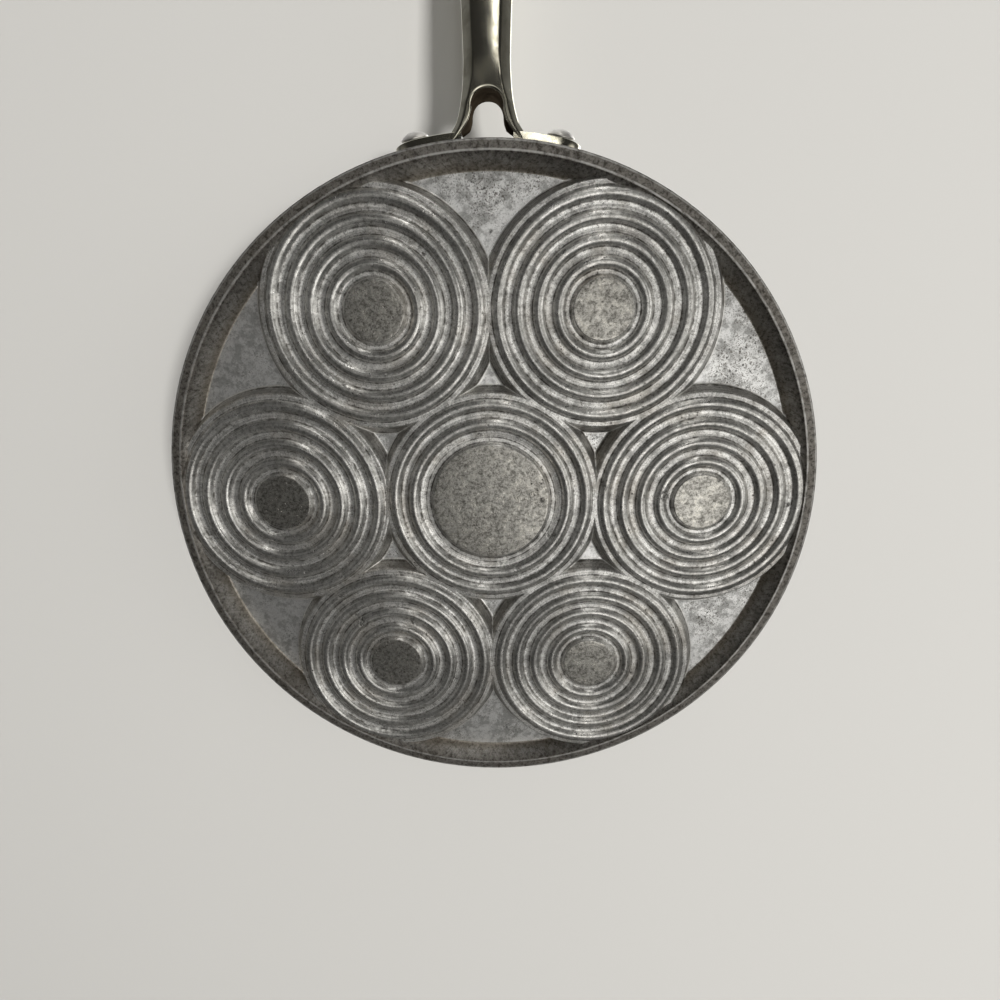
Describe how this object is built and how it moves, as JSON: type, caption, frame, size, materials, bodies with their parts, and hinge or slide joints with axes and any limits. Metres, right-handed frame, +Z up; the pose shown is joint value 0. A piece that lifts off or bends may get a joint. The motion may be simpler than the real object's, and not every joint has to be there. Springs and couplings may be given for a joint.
{
  "type": "stovetop small-pancake griddle pan",
  "caption": "Round cast stovetop griddle pan with round shallow wells, ribbed underside and a riveted hollow handle.",
  "frame": {"origin": "middle of the underside of the middle well, in the plane the pan rests on", "axes": "+Z up with the cooking side up, +Y along the handle, +X to the right"},
  "size_m": [0.2724, 0.4722, 0.0464],
  "materials": {
    "cast_alloy": "bare weathered casting, worn bright on the ridges",
    "handle_steel": "polished",
    "rivet_steel": "polished"
  },
  "bodies": {
    "root": {"pan": "cast_alloy", "handle_lower": "handle_steel", "handle_upper": "handle_steel", "rivets": "rivet_steel"}
  },
  "joints": []
}
